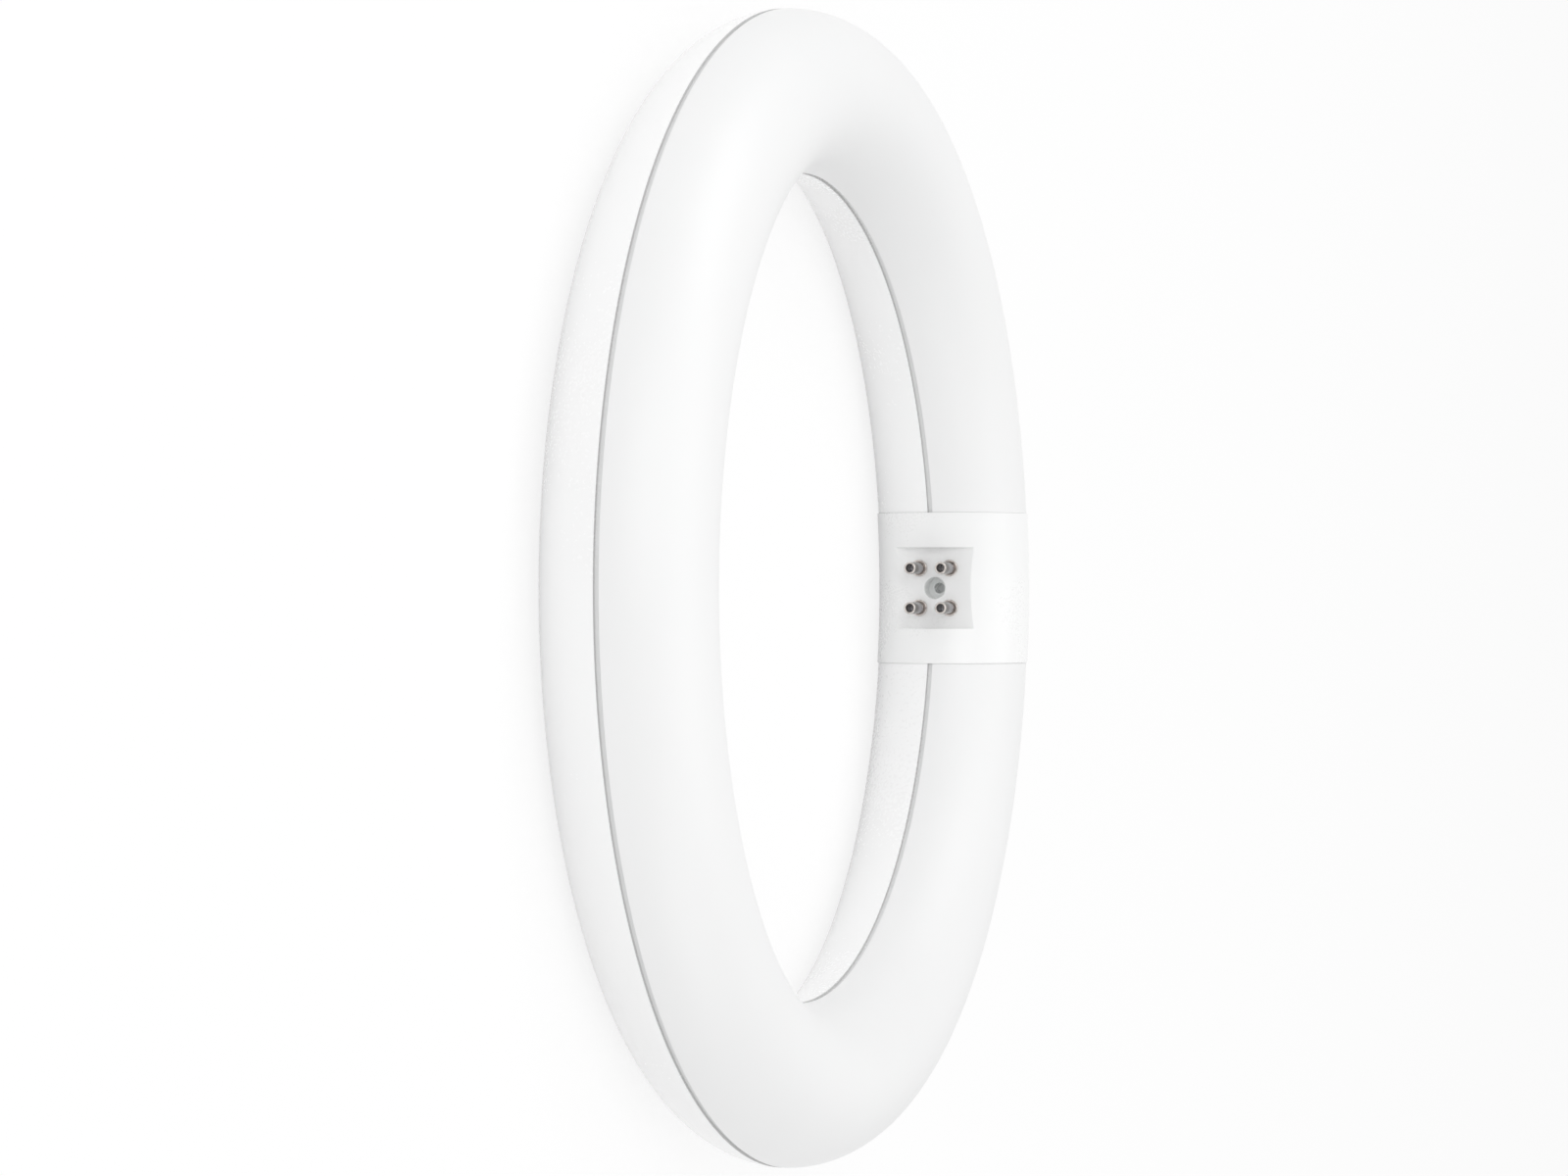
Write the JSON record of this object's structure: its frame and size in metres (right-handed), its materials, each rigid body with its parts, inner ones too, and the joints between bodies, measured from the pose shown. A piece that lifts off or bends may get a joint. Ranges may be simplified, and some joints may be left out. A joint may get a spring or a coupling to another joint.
{
  "type": "circular LED tube",
  "caption": "Ring-shaped LED lamp: an opal front and a white back half shell, with a short collar whose contact pins point at the ring's centre.",
  "frame": {"origin": "on the ring's axis, in the plane that the lamp lies on when it rests on its back", "axes": "+Z along the ring's axis towards the opal front, +X towards the collar, so the contact pins point to -X"},
  "size_m": [0.2112, 0.211, 0.0302],
  "materials": {
    "opal_plastic": "satin",
    "white_plastic": "satin",
    "collar_plastic": "satin",
    "plated_pin": "gloss",
    "lead_insulation": "satin",
    "board_metal": "satin",
    "chip_resin": "satin",
    "screw_steel": "satin",
    "board_resin": "satin",
    "resistor_coat": "satin",
    "varistor_coat": "satin",
    "black_resin": "satin",
    "capacitor_box": "gloss",
    "ferrite": "matte",
    "copper_wire": "gloss",
    "capacitor_sleeve": "gloss",
    "winding_tape": "satin"
  },
  "bodies": {
    "root": {"front_diffuser": "opal_plastic", "rear_housing": "white_plastic", "base_collar": "collar_plastic", "collar_cover": "collar_plastic", "contact_pin_1": "plated_pin", "contact_pin_2": "plated_pin", "contact_pin_3": "plated_pin", "contact_pin_4": "plated_pin", "pin_lead_1": "lead_insulation", "pin_lead_2": "lead_insulation", "pin_lead_3": "lead_insulation", "pin_lead_4": "lead_insulation", "led_board": "board_metal", "led_chips": "chip_resin", "board_screws": "screw_steel", "driver_board": "board_resin", "driver_screws": "screw_steel", "board_link_pins": "plated_pin", "fuse_resistor": "resistor_coat", "varistor": "varistor_coat", "bridge_rectifier": "black_resin", "film_capacitor": "capacitor_box", "choke_core": "ferrite", "choke_winding": "copper_wire", "bulk_capacitor": "capacitor_sleeve", "transformer_core": "ferrite", "transformer_bobbin": "black_resin", "transformer_winding": "winding_tape", "controller_chip": "black_resin", "chip_resistors": "black_resin", "output_diode": "black_resin", "output_capacitor": "capacitor_sleeve"}
  },
  "joints": []
}
